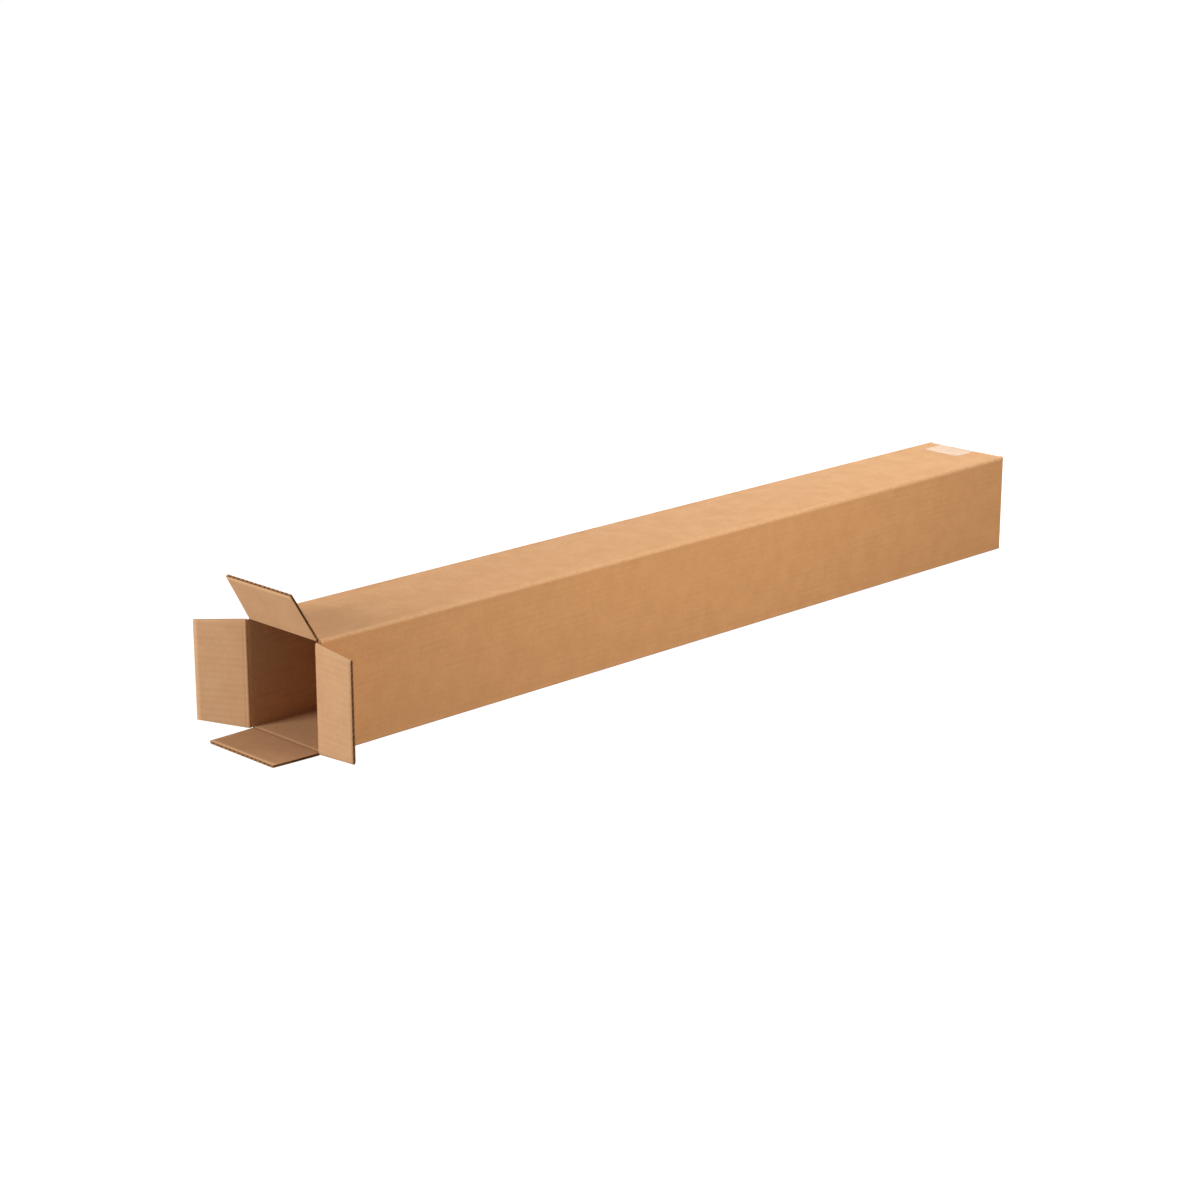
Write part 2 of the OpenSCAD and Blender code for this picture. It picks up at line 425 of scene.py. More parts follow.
def newMaterial(name, specular):
    material = bpy.data.materials.new(name)
    material.use_nodes = True
    tree = material.node_tree
    tree.nodes.clear()
    output = addNode(tree, "ShaderNodeOutputMaterial", (900, 0))
    shader = addNode(tree, "ShaderNodeBsdfPrincipled", (600, 0))
    shader.inputs["Specular IOR Level"].default_value = specular
    tree.links.new(shader.outputs[0], output.inputs[0])
    sheet = addNode(tree, "ShaderNodeUVMap", (-1200, 0), uv_map="sheetMap").outputs[0]
    return material, tree, shader, sheet


def bumpInto(tree, shader, height, distance):
    bump = addNode(tree, "ShaderNodeBump", (300, -250))
    bump.inputs["Distance"].default_value = distance
    tree.links.new(height, bump.inputs["Height"])
    tree.links.new(bump.outputs[0], shader.inputs["Normal"])


# Kraft facing: brown paper with clouds, fibres, flute lines and pale folds, partly rubbed and partly a
# painted highlight
outerLook = {
    "dark": (0.64, 0.316, 0.119),
    "light": (0.69, 0.346, 0.133),
    "shade": (0.44, 0.205, 0.08),
    "pulp": (0.32, 0.145, 0.055),
    # pale: colour laid on the folds, for rub wear and, on the top's long fold, a painted highlight
    "pale": (0.90, 0.54, 0.274),
    "cloudScale": 42.0,
    "cloudSpan": (0.3, 0.7),
    "fibreSpan": (0.3, 0.7),
    "line": 0.10,
    "grain": 0.14,
    "fleck": 0.35,
    "rub": 0.73,
    "roughness": (0.82, 0.7),
    "specular": 0.25,
    "bump": 0.05 * mm,
}
innerLook = dict(
    outerLook,
    dark=(0.577, 0.326, 0.166),
    light=(0.632, 0.365, 0.191),
    cloudScale=36.0,
    line=0.16,
    rub=0.5,
    pale=(0.84, 0.52, 0.265),
)


def makeFacing(name, look):
    material, tree, shader, sheet = newMaterial(name, look["specular"])
    paper = useGroup(tree, paperGroup, (-900, 200), Vector=sheet, CloudScale=look["cloudScale"])
    line = useGroup(tree, fluteGroup, (-900, -100), Vector=sheet)["Line"]
    # per point paleness of the folds: rub wear, and the painted highlight along the top's long fold
    wear = addNode(tree, "ShaderNodeAttribute", (-1200, -300), attribute_name="foldWear").outputs["Fac"]
    rub = useGroup(tree, rubHighlightGroup, (-900, -300), Vector=sheet, Wear=wear)["Rub"]
    # each layer is a mask and the colour that it lays over the clouds
    layers = [
        (mathNode(tree, "MULTIPLY", (-450, 150), line, look["line"]), look["shade"]),
        (ramp(tree, paper["Fibre"], (-450, 0), look["fibreSpan"], (0.0, look["grain"])), look["shade"]),
        (mathNode(tree, "MULTIPLY", (-250, 100), paper["Fleck"], look["fleck"]), look["pulp"]),
        # pale folds: rub wear, and a painted highlight along the top's long fold
        (mathNode(tree, "MULTIPLY", (-50, 100), rub, look["rub"]), look["pale"]),
    ]
    cloud = ramp(tree, paper["Cloud"], (-650, 350), look["cloudSpan"])
    colour = mixColour(tree, cloud, look["dark"], look["light"], (-450, 350))
    for step, (mask, over) in enumerate(layers):
        colour = mixColour(tree, mask, colour, over, (-250 + 190 * step, 300))
    tree.links.new(colour, shader.inputs["Base Color"])
    gloss = ramp(tree, paper["Cloud"], (300, 0), look["cloudSpan"], look["roughness"])
    tree.links.new(gloss, shader.inputs["Roughness"])
    bumpInto(tree, shader, paper["Height"], look["bump"])
    return material


# Cut edge: two pale facings with the dark core between them
cutLook = {
    "core": (0.41, 0.207, 0.09),
    "facing": (0.54, 0.295, 0.135),
    "facingSpan": (0.36, 0.5),      # from the middle of the board, as a share of its thickness
    "ragged": {"waves": (1800.0, 3.0), "detail": 3.0, "roughness": 0.55},
    "raggedShare": 0.1,
    "roughness": 0.9,
    "specular": 0.15,
    "bump": 0.15 * mm,
}


def makeCutEdge(look):
    material, tree, shader, sheet = newMaterial("cutEdge", look["specular"])
    split = addNode(tree, "ShaderNodeSeparateXYZ", (-1000, 0))
    tree.links.new(sheet, split.inputs[0])
    depth = mathNode(tree, "SUBTRACT", (-800, 0), split.outputs["Y"], 0.5)
    middle = mathNode(tree, "ABSOLUTE", (-650, 0), depth)
    ragged = noise(tree, sheet, (-800, -250), **look["ragged"])
    worn = mathNode(tree, "MULTIPLY_ADD", (-450, 0), ragged, look["raggedShare"], middle)
    facing = ramp(tree, worn, (-250, 0), look["facingSpan"])
    colour = mixColour(tree, facing, look["core"], look["facing"], (0, 100))
    tree.links.new(colour, shader.inputs["Base Color"])
    shader.inputs["Roughness"].default_value = look["roughness"]
    bumpInto(tree, shader, ragged, look["bump"])
    return material


# Fluted sheet inside the board: rougher, greyer paper
fluteLook = {
    "dark": (0.34, 0.177, 0.081),
    "light": (0.44, 0.239, 0.115),
    "cloudScale": 80.0,
    "cloudSpan": (0.3, 0.7),
    "roughness": 0.92,
    "specular": 0.15,
    "bump": 0.08 * mm,
}


def makeFlute(look):
    material, tree, shader, sheet = newMaterial("fluteSheet", look["specular"])
    paper = useGroup(tree, paperGroup, (-900, 200), Vector=sheet, CloudScale=look["cloudScale"])
    cloud = ramp(tree, paper["Cloud"], (-500, 200), look["cloudSpan"])
    colour = mixColour(tree, cloud, look["dark"], look["light"], (-200, 200))
    tree.links.new(colour, shader.inputs["Base Color"])
    shader.inputs["Roughness"].default_value = look["roughness"]
    bumpInto(tree, shader, paper["Height"], look["bump"])
    return material


# Packing tape: clear film with a milky haze, drawn streaks and small specks of trapped air
tapeLook = {
    "clear": (0.85, 0.585, 0.375),
    "milky": (0.88, 0.62, 0.415),
    "drawn": {"waves": (6.0, 420.0), "detail": 3.0, "roughness": 0.6},
    "milkySpan": (0.3, 0.7),
    "hazeSpan": (0.25, 0.75),
    "haze": (0.50, 0.53),
    "patch": {"scale": 110.0, "detail": 3.0, "roughness": 0.6},
    "looseSpan": (0.5, 0.65),       # air is trapped in these patches only
    "airScale": 260.0,
    "airSpan": (0.1, 0.22),
    "air": 0.07,
    "glossSpan": (0.3, 0.7),
    "roughness": (0.36, 0.46),
    "refraction": 1.48,
    "specular": 0.2,
    "bump": 0.010 * mm,
}


def makeTapeFilm(look):
    material, tree, shader, sheet = newMaterial("tapeFilm", look["specular"])
    drawn = noise(tree, sheet, (-800, 200), **look["drawn"])
    patchy = noise(tree, sheet, (-800, 0), **look["patch"])
    specks = addNode(tree, "ShaderNodeTexVoronoi", (-800, -250), voronoi_dimensions="2D")
    tree.links.new(sheet, specks.inputs["Vector"])
    specks.inputs["Scale"].default_value = look["airScale"]
    bubbles = ramp(tree, specks.outputs["Distance"], (-550, -250), look["airSpan"], (1.0, 0.0))
    loose = ramp(tree, patchy, (-550, 0), look["looseSpan"])
    air = mathNode(tree, "MULTIPLY", (-350, -150), bubbles, loose)
    milky = ramp(tree, drawn, (-550, 200), look["milkySpan"])
    colour = mixColour(tree, milky, look["clear"], look["milky"], (-150, 250))
    tree.links.new(colour, shader.inputs["Base Color"])
    haze = ramp(tree, drawn, (-300, 50), look["hazeSpan"], look["haze"])
    tree.links.new(mathNode(tree, "MULTIPLY_ADD", (0, 0), air, look["air"], haze), shader.inputs["Alpha"])
    gloss = ramp(tree, patchy, (0, -200), look["glossSpan"], look["roughness"])
    tree.links.new(gloss, shader.inputs["Roughness"])
    shader.inputs["IOR"].default_value = look["refraction"]
    bumpInto(tree, shader, mathNode(tree, "ADD", (150, -300), drawn, air), look["bump"])
    return material


boardMaterials = [
    makeFacing("kraftOuter", outerLook),
    makeFacing("kraftInner", innerLook),
    makeCutEdge(cutLook),
    makeFlute(fluteLook),
]
tapeMaterial = makeTapeFilm(tapeLook)
print("materials ready")


# Folded sheet: four panels, glue tab and the four flaps of the closed end
sheetLook = {
    "flutePoints": 5,            # points across each flute
    "stripPoints": 3,            # and on either side of a long fold
    "arcPoints": 8,
    "panelBow": {"right": 0.6 * mm, "bottom": 0.0, "left": 0.6 * mm, "top": 0.7 * mm},
    "bowFade": 140.0 * mm,       # bows die out towards the ends
    "endRoom": 55.0 * mm,        # flat stretch at the closed end, under the tape
    "bottomLift": 0.28 * mm,     # the underside stands on its two folds
    "liftFade": 60.0 * mm,
    "creaseStretch": 4.2 * mm,   # close rows over the creases,
    "creaseRows": 10,
    "rowStart": 6.0 * mm,        # then one for each step, between these distances from the slots,
    "rowStop": 48.0 * mm,
    "rowStep": 12.0 * mm,
    "endStretch": 44.0 * mm,     # then close rows under the tape
    "endRows": 14,
    "tongueRows": 10,            # beyond the slots, up to the outer pair's creases
    "ribFade": 4.0 * mm,         # the flutes' washboard is pressed flat at the slots
    "cornerEnd": 3.0 * mm,       # the long folds run this far past the closed end's slots
    "cornerFade": 10.0 * mm,
    "backFade": 20.0 * mm,
    "joinSetback": 1.5 * mm,     # the top panel's cut edge stops short of the left side
    # pale line along each long fold: rub wear, and on the top's fold, beside the right side, a painted
    # highlight
    "rubReach": 2.6 * mm,
    "foldRub": {"right": 0.2, "bottom": 0.2, "left": 0.0, "top": 1.0},   # fold after each side
}
tabLook = {
    "radius": 0.9 * mm,
    "width": 32.0 * mm,
    "inset": 6.0 * mm,
    "slant": 15.0,
    "rootShare": 0.75,           # of the board's thickness, let into the left side
    "press": 0.35 * mm,          # the free edge is pressed thinner
    "pressReach": 1.5 * mm,
    "columns": 26,
    "rows": 61,
    "mapShift": 2.0,             # the tab has its own stretch of paper
}
endLook = {
    "radius": 5.0 * mm,          # the outer pair bends wider than the other folds
    "rub": {"right": 0.25, "bottom": 0.6, "left": 0.25, "top": 0.6},
    "leadRows": 5,               # up to the bend, in the bend, and across the end
    "bendRows": 10,
    "faceRows": 13,
    "ribRise": 6.0,              # the washboard is full after a sixth of the flap
}


def warp(points):
    # panels bow by (1 - y^2)^2 between their folds, and the bows die out at both ends;
    # the underside lifts by 1 - y^4
    x = points[..., 0]
    y = points[..., 1] / (boxWidth / 2)
    z = (points[..., 2] - boxHeight / 2) / (boxHeight / 2)
    ends = (smoothStep((x - slotX) / sheetLook["bowFade"])
            * smoothStep((endSlotX - sheetLook["endRoom"] - x) / sheetLook["bowFade"]))
    bow = sheetLook["panelBow"]
    upright = (1.0 - np.clip(y * y, 0, 1)) ** 2 * z ** 3
    sideways = (1.0 - np.clip(z * z, 0, 1)) ** 2 * y ** 3
    rise = ends * upright * np.where(z > 0, bow["top"], bow["bottom"])
    push = ends * sideways * np.where(y > 0, bow["left"], bow["right"])
    lift = (sheetLook["bottomLift"] * smoothStep((x - slotX) / sheetLook["liftFade"])
            * (1.0 - np.clip(np.abs(y), 0, 1) ** 4) * smoothStep(-z * 2.0))
    return points + np.stack([np.zeros_like(x), push, rise + lift], -1)


def midLine(side):
    # lines across one panel between its slots, a few for each flute
    count = int(round(2 * side["flapHalf"] / board["flutePitch"] * sheetLook["flutePoints"])) + 1
    return np.linspace(-side["flapHalf"], side["flapHalf"], count)


def roundCorner(side, after, radius, depth):
    # strip, quarter circle and strip between two panels, as (across, depth) seen from the first;
    # the circle is convex on the outer face and concave on the inner one
    strips = sheetLook["stripPoints"]
    middle = side["half"] - depth - radius
    first = np.linspace(side["flapHalf"], middle, strips + 1)[1:]
    angle = np.linspace(0.0, np.pi / 2, sheetLook["arcPoints"] + 1)[1:]
    last = np.linspace(depth + radius, side["reach"] - after["flapHalf"], strips + 1)[1:-1]
    beside = np.full(strips - 1, side["half"] - depth)
    across = np.concatenate([first, middle + radius * np.sin(angle), beside])
    below = np.concatenate([np.full(strips, depth), depth + radius - radius * np.cos(angle), last])
    return across, below


def jointCorner(side, after):
    # fold of the glue tab, then the cut edge of the top panel that lies over it
    strips, radius, setback = sheetLook["stripPoints"], tabLook["radius"], sheetLook["joinSetback"]
    over = side["half"] - board["thickness"]
    middle = over - radius
    first = np.linspace(side["flapHalf"], middle, strips + 1)[1:]
    angle = np.linspace(0.0, np.pi / 2, sheetLook["arcPoints"] - 1)[1:]
    last = np.linspace(setback, side["reach"] - after["flapHalf"], strips + 1)[1:-1]
    beside = np.full(strips - 1, side["half"])
    across = np.concatenate([first, middle + radius * np.sin(angle), [over, side["half"]], beside])
    below = np.concatenate([np.zeros(strips), radius - radius * np.cos(angle), [setback, setback], last])
    return across, below


def ringColumns():
    # every line along the box, round the outer and the inner face, with what the rows need to know of it
    thick = board["thickness"]
    columns = {key: [] for key in ("outer", "inner", "v", "mid", "rub", "ribs", "deep")}
    spans = {}
    count = 0
    for number, side in enumerate(ring):
        after = ring[(number + 1) % len(ring)]
        q = midLine(side)
        if side["name"] == "left":
            outerQ, outerD = jointCorner(side, after)
        else:
            outerQ, outerD = roundCorner(side, after, board["foldRadius"], 0.0)
        innerQ, innerD = roundCorner(side, after, board["insideRadius"], thick)
        corner = len(outerQ)
        spans[side["name"]] = (count, count + len(q) - 1, count + len(q) + corner)
        columns["outer"] += [place(side, 0.0, q, 0.0), place(side, 0.0, outerQ, outerD)]
        columns["inner"] += [place(side, 0.0, q, thick), place(side, 0.0, innerQ, innerD)]
        cornerV = np.linspace(side["flapHalf"], panelStep - after["flapHalf"], corner + 2)[1:-1]
        columns["v"] += [side["v"] + q, side["v"] + cornerV]
        columns["mid"] += [np.full(len(q), number), np.full(corner, -1)]
        # pale line along each long fold: rub wear, and a painted highlight on the top's fold
        fold = np.abs(cornerV - panelStep / 2)
        rub = sheetLook["foldRub"][side["name"]] * np.exp(-(fold / sheetLook["rubReach"]) ** 2)
        columns["rub"] += [np.zeros(len(q)), rub]
        columns["ribs"] += [q, np.zeros(corner)]
        # 1 where the inner face stops short at the closed end, behind an inner flap's fold
        own = float(side["name"] in innerPair)
        ahead = float(after["name"] in innerPair)
        columns["deep"] += [np.full(len(q), own), np.linspace(own, ahead, corner + 2)[1:-1]]
        count += len(q) + corner
    joined = {key: np.concatenate(value) for key, value in columns.items()}
    joined = {key: np.concatenate([value, value[:1]]) for key, value in joined.items()}
    joined["v"][-1] = len(ring) * panelStep - ring[0]["flapHalf"]
    return joined, spans


def tubePatches(columns, spans):
    # the ring of lines carried along the box
    rows = np.concatenate([
        np.linspace(slotX, slotX + sheetLook["creaseStretch"], sheetLook["creaseRows"]),
        np.arange(slotX + sheetLook["rowStart"], endSlotX - sheetLook["rowStop"], sheetLook["rowStep"]),
        np.linspace(endSlotX - sheetLook["endStretch"], endSlotX, sheetLook["endRows"]),
    ])
    x = rows[:, None]
    number = columns["mid"][None, :]
    ribs = np.where(number >= 0, columns["ribs"][None, :], 0.0)
    fade = np.where(number >= 0, smoothStep((x - slotX) / sheetLook["ribFade"]) * np.ones_like(number), 0.0)
    # creases of the top and the bottom lie on the tube itself
    s = x - sides["top"]["hinge"][0]
    inward = np.zeros((1, len(columns["mid"]), 3))
    grooved = np.zeros(number.shape, bool)
    creaseRub = np.zeros((len(rows), number.shape[1]))
    for index, side in enumerate(ring):
        inward[0, columns["mid"] == index] = -side["normal"]
        if side["name"] in innerPair:
            grooved |= number == index
            creaseRub += np.where(number == index, creaseWear(side, s), 0.0)
    outerSink = np.where(grooved, outerDepth(s), 0.0) + ribSink(ribs, fade)
    innerSink = np.where(grooved, innerDepth(s) - board["thickness"], 0.0) - ribSink(ribs, fade, True)
    # at the closed end the long folds run on, and the inner face stops short behind the inner flaps
    nearEnd = smoothStep((x - endSlotX) / sheetLook["cornerFade"] + 1.0)
    outerX = x + sheetLook["cornerEnd"] * np.where(number < 0, nearEnd, 0.0)
    back = endSlotX - (innerEndX - board["thickness"] - board["insideRadius"])
    short = columns["deep"][None, :] * smoothStep((x - endSlotX) / sheetLook["backFade"] + 1.0)
    innerX = outerX - back * short
    outer = columns["outer"][None] + outerX[..., None] * lengthWay + outerSink[..., None] * inward
    inner = columns["inner"][None] + innerX[..., None] * lengthWay + innerSink[..., None] * inward
    uv = np.stack(np.broadcast_arrays(x, columns["v"][None, :]), -1)
    # the long folds' rub wear and painted highlight, with the creases' rub
    wear = np.maximum(columns["rub"][None, :], creaseRub)
    # the two strips of cut edge where the top panel lies over the glue tab
    cut = np.zeros(outer.shape[1] - 1, bool)
    cutAt = spans["left"][1] + sheetLook["stripPoints"] + sheetLook["arcPoints"] - 2
    cut[cutAt:cutAt + 2] = True
    made = [
        patch(outer, uv, wear, np.where(cut, paints["cut"], paints["outer"])[None, :], cut[None, :]),
        patch(inner, uv + board["innerPaper"], creaseRub, "inner", flip=True),
    ]
    # cut edges in the slots, and the ends of the top and the bottom under their flaps' creases
    frontSpans = [(spans["right"][1], spans["left"][0]), (spans["left"][1], outer.shape[1] - 1)]
    made += [wall(inner[0, a:b + 1], outer[0, a:b + 1]) for a, b in frontSpans]
    made += [wall(outer[-1, a:b + 1], inner[-1, a:b + 1]) for _, a, b in spans.values()]
    return made


def tonguePatches(side):
    # panel's own edge beyond the slots, widening by a smooth step up to the crease of its flap
    hingeX = side["hinge"][0]
    x = np.linspace(slotX, hingeX + board["slotPast"], sheetLook["tongueRows"])[:, None]
    s = x - hingeX
    flare = board["flare"][side["name"]] / side["flapHalf"]
    q = midLine(side)[None, :] * (1.0 + flare * smoothStep((slotX - x) / (slotX - hingeX)))
    outer = place(side, x, q, outerDepth(s))
    inner = place(side, x, q, innerDepth(s))
    uv = np.stack(np.broadcast_arrays(x, side["v"] + q), -1)
    return slab(outer, inner, uv, creaseWear(side, s), flip=True)


def endFlapPatches(side):
    # path of the outer face: straight on, a quarter circle, then across the end; the inner face
    # follows one board's thickness inside it
    outside = side["name"] in outerPair
    endX = outerEndX if outside else innerEndX
    thick = board["thickness"]
    radius = endLook["radius"] if outside else board["foldRadius"]
    inside = radius - thick if outside else board["insideRadius"]
    drop = side["reach"] - board["flapGap"] / 2
    lead = np.linspace(0.0, 1.0, endLook["leadRows"])[:-1] if outside else np.zeros(0)
    angle = np.linspace(0.0, np.pi / 2, endLook["bendRows"])
    run = np.linspace(0.0, 1.0, endLook["faceRows"])[1:]

    def bentPath(faceX, depth, bend):
        turnX = faceX - bend
        along = [endSlotX + lead * (turnX - endSlotX), turnX + bend * np.sin(angle), np.full(len(run), faceX)]
        below = [np.full(len(lead), depth), depth + bend - bend * np.cos(angle),
                 depth + bend + run * (drop - depth - bend)]
        return np.concatenate(along), np.concatenate(below)

    outerX, outerD = bentPath(endX, 0.0, radius)
    innerX, innerD = bentPath(endX - thick, thick, inside)
    narrow = np.clip((outerD[:, None] - thick) / (drop - thick), 0, 1)
    q = midLine(side)[None, :] * (1.0 - narrow * board["taper"] / side["flapHalf"])
    ribs = np.concatenate([np.zeros(len(lead) + len(angle)), smoothStep(run * endLook["ribRise"])])[:, None]
    outer = place(side, outerX[:, None] - ribSink(q, ribs), q, outerD[:, None])
    inner = place(side, innerX[:, None] + ribSink(q, ribs, True), q, innerD[:, None])
    path = np.concatenate([[0.0], np.cumsum(np.hypot(np.diff(outerX), np.diff(outerD)))])[:, None]
    uv = np.stack(np.broadcast_arrays(endSlotX + path, side["v"] + q), -1)
    middle = path[len(lead) + len(angle) // 2]
    wear = endLook["rub"][side["name"]] * np.exp(-((path - middle) / sheetLook["rubReach"]) ** 2)
    return slab(outer, inner, uv, wear)


def tabPatches():
    # flat tab under the top panel, with slanted ends, let into the left side
    side = sides["top"]
    thick, inset = board["thickness"], tabLook["inset"]
    root = boxWidth / 2 - thick * tabLook["rootShare"]
    edge = boxWidth / 2 - thick - tabLook["width"]
    y = np.linspace(root, edge, tabLook["columns"])[None, :]
    slant = (root - y) * math.tan(math.radians(tabLook["slant"]))
    run = np.linspace(0.0, 1.0, tabLook["rows"])[:, None]
    front = slotX + inset + slant
    rear = innerEndX - thick - inset - slant
    x = front + run * (rear - front)
    press = tabLook["press"] * hump((y - edge) / tabLook["pressReach"])
    gluedFace = place(side, x, -y, thick)
    openFace = place(side, x, -y, 2.0 * thick - press)
    uv = np.stack(np.broadcast_arrays(x, y + tabLook["mapShift"]), -1)
    return slab(gluedFace, openFace, uv, 0.0, ("inner", "inner"), allWalls)


def makeSheet():
    columns, spans = ringColumns()
    patches = tubePatches(columns, spans) + tabPatches()
    for side in ring:
        patches += endFlapPatches(side)
    for name in outerPair:
        patches += tonguePatches(sides[name])
    for one in patches:
        one["points"] = warp(one["points"])
    piece = buildPiece("box_sheet", patches, boardMaterials)
    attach(piece, "box")
    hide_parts("box_body")


makeSheet()


# Flaps of the open end: two facings and a fluted sheet, crushed together at the crease
flapLook = {
    "bendStart": 0.1 * mm,       # the crease bends between these distances from its hinge
    "bendEnd": 1.8 * mm,
    "creaseStretch": 4.5 * mm,   # close rows over the crease
    "creaseRows": 17,
    "faceStart": 6.0 * mm,
    "faceRows": 11,
    "flutePoints": 10,
    "facingPoints": 5,
    "rim": (0.3 * mm, 0.6 * mm, 0.9 * mm, 1.2 * mm),    # more lines beside the cut sides
    "curl": {"right": 0.5 * mm, "bottom": -0.5 * mm, "left": 0.4 * mm, "top": -0.6 * mm},
    "bite": 0.02 * mm,           # flutes are glued into the facings by this much
    "edgeRub": 0.5,
    "edgeReach": 1.2 * mm,
    # cut sides are pressed together by this much from both faces
    "pinch": {"right": 0.85 * mm, "bottom": 0.15 * mm, "left": 0.5 * mm, "top": 0.1 * mm},
    "pinchReach": 2.0 * mm,
}


def flapPlace(side, s, q, depth, length):
    # straight flap turned about its hinge, by an angle that grows through the crease
    s, q, depth = np.broadcast_arrays(s, q, depth)
    bend = (s - flapLook["bendStart"]) / (flapLook["bendEnd"] - flapLook["bendStart"])
    angle = side["open"] * smoothStep(bend)
    curl = flapLook["curl"][side["name"]] * np.clip(s / length, 0, 1) ** 2
    h = side["creaseDepth"] - depth + curl
    along = s * np.cos(angle) - h * np.sin(angle)
    out = s * np.sin(angle) + h * np.cos(angle)
    return (side["hinge"] + q[..., None] * side["lateral"] - along[..., None] * lengthWay
            + out[..., None] * side["normal"])


def flapPatches(side):
    # grids of s, out from the hinge, by q, across the flap, which narrows evenly to its tip
    length = side["reach"] - side["creaseDepth"] - board["flapGap"] / 2
    s = np.concatenate([
        np.linspace(-board["slotPast"], flapLook["creaseStretch"], flapLook["creaseRows"]),
        np.linspace(flapLook["faceStart"], length, flapLook["faceRows"]),
    ])[:, None]
    run = np.clip(s / length, 0, 1)
    half = side["flapHalf"] - board["taper"] * run + board["flare"][side["name"]] * (1.0 - run)
    flutes = 2 * side["flapHalf"] / board["flutePitch"]
    rim = 1.0 - np.array(flapLook["rim"]) / side["flapHalf"]

    def across(points):
        even = np.linspace(-1, 1, int(round(flutes * points)) + 1)
        return half * np.union1d(even[1:-1], np.concatenate([even[[0, -1]], rim, -rim]))[None, :]

    def pinch(q):
        return flapLook["pinch"][side["name"]] * hump((half - np.abs(q)) / flapLook["pinchReach"])

    def layer(q, top, under, paint, wear=0.0, shift=(0.0, 0.0)):
        uv = np.stack(np.broadcast_arrays(side["hinge"][0] - s, side["v"] + q), -1) + shift
        faces = [flapPlace(side, s, q, depth, length) for depth in (top, under)]
        return slab(*faces, uv, wear, paint, allWalls, flip=True)

    liner, medium = board["liner"], board["medium"]
    wide, fine = across(flapLook["facingPoints"]), across(flapLook["flutePoints"])
    full = smoothStep(s / crease["innerReach"])
    edge = np.minimum(half - np.abs(wide), length - s)
    wear = np.maximum(creaseWear(side, s), flapLook["edgeRub"] * np.exp(-edge / flapLook["edgeReach"]))
    outerTop = outerDepth(s) + ribSink(wide, full) + pinch(wide)
    innerUnder = innerDepth(s) - ribSink(wide, full, True) - pinch(wide)
    # fluted sheet: a cosine across the flap, as tall as the room between the facings
    top, under = outerDepth(s) + pinch(fine), innerDepth(s) - pinch(fine)
    tall = (under - top) / 2 - liner - medium / 2 + flapLook["bite"]
    slope = tall * 2.0 * np.pi / board["flutePitch"] * np.sin(2.0 * np.pi * fine / board["flutePitch"])
    thick = medium / 2 * np.sqrt(1.0 + slope ** 2)
    centre = (top + under) / 2 - tall * fluteWave(fine)
    return (layer(wide, outerTop, outerTop + liner, ("outer", "flute"), wear)
            + layer(wide, innerUnder - liner, innerUnder, ("flute", "inner"), wear, board["innerPaper"])
            + layer(fine, centre - thick, centre + thick, ("flute", "flute")))


def makeFlap(side):
    piece = buildPiece(side["name"] + "_flap_sheet", flapPatches(side), boardMaterials)
    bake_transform(piece)
    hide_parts(side["name"] + "_flap")


for side in ring:
    makeFlap(side)


# Tape over the seam of the closed end, lapped on to the top and the bottom
tapeStrip = {
    "width": 50.0 * mm,
    "thickness": 0.1 * mm,
    "lap": 35.0 * mm,
    "shift": 9.6 * mm,           # to the left of the middle
    "stuck": 0.02 * mm,          # room between the film and the board
    "tooth": 2.1 * mm,           # serrated cut ends
    "toothDepth": 0.7 * mm,
    "toothPoints": 4,
    "rows": 150,
    "bendPoints": 12,
    "bendReach": 0.8 * mm,       # its slope is taken over this much on either side
    "wrinkle": 0.12 * mm,
    "wrinkleLength": 5.3 * mm,
    "wrinkleWidth": 6.1 * mm,
    "sway": 3.0,                 # wrinkles wander by this much, over this width
    "swayWidth": 17.0 * mm,
    "wrinkleFade": 12.0 * mm,    # none on the laps
    "seamReach": 0.9 * mm,
}


def tapePath():
    # half path: along the face, round the inner flap's fold, straight to the outer flaps' edge
    radius = board["foldRadius"]
    edge = sides["top"]["reach"] - sides["right"]["flapHalf"]
    dx, dz = outerEndX - endSlotX, radius - edge
    leave = math.asin(radius / math.hypot(dx, dz)) - math.atan2(dz, dx)
    angle = np.linspace(0.0, leave, tapeStrip["bendPoints"])
    halfX = np.concatenate([[endSlotX - tapeStrip["lap"]], endSlotX + radius * np.sin(angle), [outerEndX]])
    halfD = np.concatenate([[0.0], radius - radius * np.cos(angle), [edge]])
    x = np.concatenate([halfX, halfX[::-1]])
    z = np.concatenate([boxHeight - halfD, halfD[::-1]])
    return x, z


